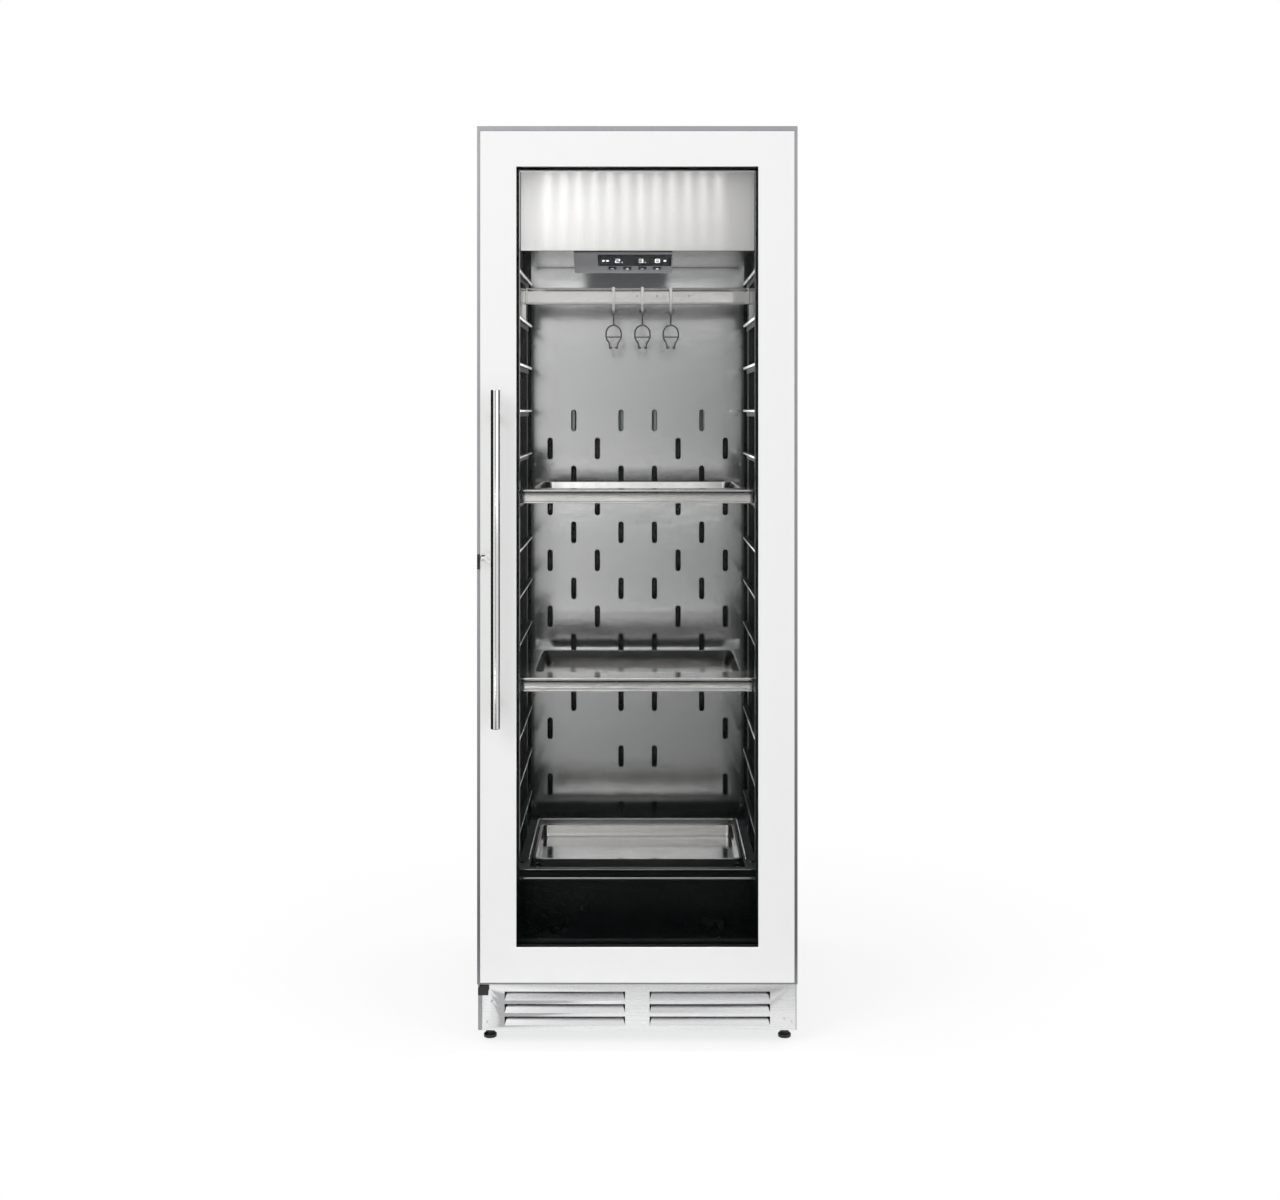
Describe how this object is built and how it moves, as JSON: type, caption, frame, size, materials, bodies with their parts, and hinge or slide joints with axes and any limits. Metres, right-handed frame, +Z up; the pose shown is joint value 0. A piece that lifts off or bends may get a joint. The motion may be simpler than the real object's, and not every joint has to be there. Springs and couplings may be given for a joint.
{
  "type": "dry aging cabinet",
  "caption": "Tall upright glass-door meat aging cabinet with shelf rails, pan shelves, drip tray, hanging bar with hooks and a cooling set in its base.",
  "frame": {"origin": "middle of the footprint, on the floor under the feet", "axes": "+Z up, the door faces -Y, +X to the right seen from the front (the hinge side)"},
  "size_m": [0.598, 0.722, 1.72],
  "materials": {
    "casing_paint": "satin grey powder coat on sheet steel",
    "liner_plastic": "vacuum-formed black liner",
    "foam": "rigid insulating foam",
    "galvanised": "galvanised sheet steel",
    "brushed_steel": "stainless, brushed",
    "polished_steel": "stainless, polished",
    "edge_steel": "satin anodised profile",
    "white_lacquer": "smooth white coating",
    "black_plastic": "moulded, fine grain",
    "clear_glass": "clear float glass",
    "dark_glass": "smoked display window",
    "black_rubber": "magnetic door gasket",
    "compressor_paint": "black enamel",
    "fin_aluminium": "pressed fins",
    "lamp_lens": "white lamp strip"
  },
  "bodies": {
    "cabinet": {"outer_casing": "casing_paint", "bay_skin": "galvanised", "insulation": "foam", "inner_liner": "liner_plastic", "rear_panel": "galvanised", "rear_bay_cover": "galvanised", "power_inlet": "black_plastic", "base_pan": "galvanised", "plinth_frame": "edge_steel", "front_grille": "brushed_steel", "corner_cap": "black_plastic", "hinge_bracket_upper": "galvanised", "hinge_bracket_lower": "galvanised", "condenser": "fin_aluminium", "compressor": "compressor_paint", "back_duct_panel": "brushed_steel", "evaporator": "fin_aluminium", "evaporator_fan_motor": "galvanised", "top_module_cover": "brushed_steel", "lamp_strip": "lamp_lens", "control_pod": "black_plastic", "display_lens": "dark_glass", "rail_ladder_left": "brushed_steel", "rail_ladder_right": "brushed_steel", "hanging_bar": "brushed_steel"},
    "door": {"door_trim": "edge_steel", "door_front_panel": "white_lacquer", "door_core": "black_plastic", "glass_outer": "clear_glass", "glass_spacer": "black_plastic", "glass_inner": "clear_glass", "door_gasket": "black_rubber", "handle_bar": "polished_steel", "handle_post_lower": "polished_steel", "handle_post_upper": "polished_steel", "lock_barrel": "polished_steel", "lock_plate": "black_plastic"},
    "lock": {"lock_key": "polished_steel", "lock_cam": "galvanised"},
    "shelf_upper": {"shelf_upper": "polished_steel"},
    "shelf_middle": {"shelf_middle": "polished_steel"},
    "bottom_frame": {"bottom_frame": "polished_steel", "tray_guard": "polished_steel"},
    "drip_tray": {"drip_tray": "polished_steel"},
    "condenser_fan": {"condenser_fan": "black_plastic"},
    "evaporator_fan": {"evaporator_fan": "black_plastic"},
    "saddle_1": {"hook_saddle_1": "polished_steel"},
    "hook_1": {"meat_hook_1": "polished_steel"},
    "saddle_2": {"hook_saddle_2": "polished_steel"},
    "hook_2": {"meat_hook_2": "polished_steel"},
    "saddle_3": {"hook_saddle_3": "polished_steel"},
    "hook_3": {"meat_hook_3": "polished_steel"},
    "key_1": {"control_key_1": "black_plastic"},
    "key_2": {"control_key_2": "black_plastic"},
    "key_3": {"control_key_3": "black_plastic"},
    "key_4": {"control_key_4": "black_plastic"},
    "foot_front_left": {"foot_front_left": "black_plastic"},
    "foot_rear_left": {"foot_rear_left": "black_plastic"},
    "foot_front_right": {"foot_front_right": "black_plastic"},
    "foot_rear_right": {"foot_rear_right": "black_plastic"}
  },
  "joints": [
    {"name": "door_swing", "type": "hinge", "parent": "cabinet", "child": "door", "pos_m": [0.287, -0.291, 0.9], "axis": [0, 0, 1], "range_deg": [0, 110]},
    {"name": "lock_turn", "type": "hinge", "parent": "door", "child": "lock", "pos_m": [-0.288, -0.3, 0.915], "axis": [0, -1, 0], "range_deg": [0, 90]},
    {"name": "shelf_upper_slide", "type": "slide", "parent": "cabinet", "child": "shelf_upper", "axis": [0, -1, 0], "range_m": [0, 0.038]},
    {"name": "shelf_middle_slide", "type": "slide", "parent": "cabinet", "child": "shelf_middle", "axis": [0, -1, 0], "range_m": [0, 0.038]},
    {"name": "bottom_frame_slide", "type": "slide", "parent": "cabinet", "child": "bottom_frame", "axis": [0, -1, 0], "range_m": [0, 0.038]},
    {"name": "tray_lift", "type": "slide", "parent": "bottom_frame", "child": "drip_tray", "axis": [0, 0, 1], "range_m": [0, 0.04]},
    {"name": "saddle_slide_1", "type": "slide", "parent": "cabinet", "child": "saddle_1", "axis": [1, 0, 0], "range_m": [-0.011, 0.011]},
    {"name": "hook_swing_1", "type": "hinge", "parent": "saddle_1", "child": "hook_1", "pos_m": [-0.049, -0.013, 1.39805], "axis": [1, 0, 0], "range_deg": [-45, 45]},
    {"name": "saddle_slide_2", "type": "slide", "parent": "cabinet", "child": "saddle_2", "axis": [1, 0, 0], "range_m": [-0.011, 0.011]},
    {"name": "hook_swing_2", "type": "hinge", "parent": "saddle_2", "child": "hook_2", "pos_m": [0.01, -0.013, 1.39805], "axis": [1, 0, 0], "range_deg": [-45, 45]},
    {"name": "saddle_slide_3", "type": "slide", "parent": "cabinet", "child": "saddle_3", "axis": [1, 0, 0], "range_m": [-0.011, 0.011]},
    {"name": "hook_swing_3", "type": "hinge", "parent": "saddle_3", "child": "hook_3", "pos_m": [0.068, -0.013, 1.39805], "axis": [1, 0, 0], "range_deg": [-45, 45]},
    {"name": "key_press_1", "type": "slide", "parent": "cabinet", "child": "key_1", "axis": [0, 0.3511, 0.9363], "range_m": [0, 0.001], "stiffness_N_per_m": 300},
    {"name": "key_press_2", "type": "slide", "parent": "cabinet", "child": "key_2", "axis": [0, 0.3511, 0.9363], "range_m": [0, 0.001], "stiffness_N_per_m": 300},
    {"name": "key_press_3", "type": "slide", "parent": "cabinet", "child": "key_3", "axis": [0, 0.3511, 0.9363], "range_m": [0, 0.001], "stiffness_N_per_m": 300},
    {"name": "key_press_4", "type": "slide", "parent": "cabinet", "child": "key_4", "axis": [0, 0.3511, 0.9363], "range_m": [0, 0.001], "stiffness_N_per_m": 300},
    {"name": "condenser_fan_spin", "type": "hinge", "parent": "cabinet", "child": "condenser_fan", "pos_m": [0, -0.026, 0.1103], "axis": [0, 1, 0], "continuous": true},
    {"name": "evaporator_fan_spin", "type": "hinge", "parent": "cabinet", "child": "evaporator_fan", "pos_m": [0, 0.25, 1.5855], "axis": [0, 1, 0], "continuous": true},
    {"name": "foot_front_left_turn", "type": "hinge", "parent": "cabinet", "child": "foot_front_left", "pos_m": [-0.2795, -0.259, 0.02], "axis": [0, 0, 1], "continuous": true},
    {"name": "foot_rear_left_turn", "type": "hinge", "parent": "cabinet", "child": "foot_rear_left", "pos_m": [-0.2795, 0.32, 0.02], "axis": [0, 0, 1], "continuous": true},
    {"name": "foot_front_right_turn", "type": "hinge", "parent": "cabinet", "child": "foot_front_right", "pos_m": [0.2795, -0.259, 0.02], "axis": [0, 0, 1], "continuous": true},
    {"name": "foot_rear_right_turn", "type": "hinge", "parent": "cabinet", "child": "foot_rear_right", "pos_m": [0.2795, 0.32, 0.02], "axis": [0, 0, 1], "continuous": true}
  ]
}
